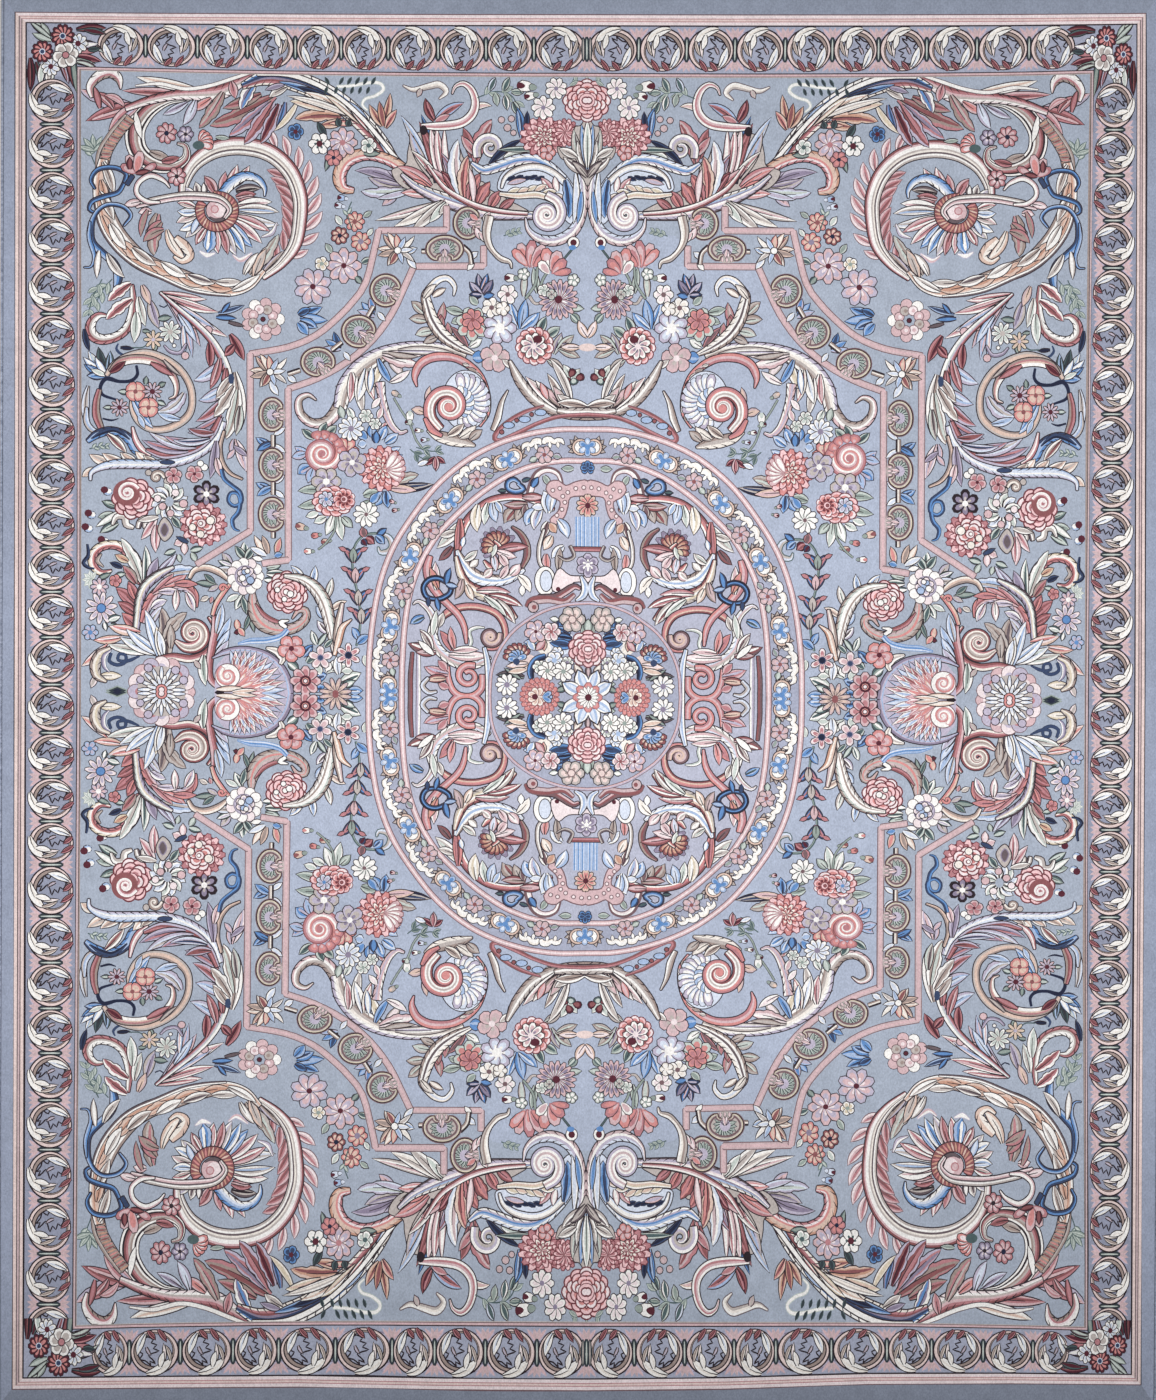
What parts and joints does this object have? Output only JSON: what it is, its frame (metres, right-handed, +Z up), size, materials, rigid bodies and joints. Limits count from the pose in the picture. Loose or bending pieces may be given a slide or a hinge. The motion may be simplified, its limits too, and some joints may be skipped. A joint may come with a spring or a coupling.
{
  "type": "knotted pile carpet",
  "caption": "Large rectangular knotted floor carpet lying flat, with an overcast cord along each long side and a floral scroll pattern in its pile.",
  "frame": {"origin": "under the middle of the rug, on the floor it lies on", "axes": "+Z up out of the pile, +Y along the length towards the head end, +X across the width"},
  "size_m": [2.486, 3, 0.008],
  "materials": {
    "pile": "sheared wool pile",
    "side_cord": "overcast wool"
  },
  "bodies": {
    "root": {"knotted_body": "pile", "side_cord_left": "side_cord", "side_cord_right": "side_cord"}
  },
  "joints": []
}
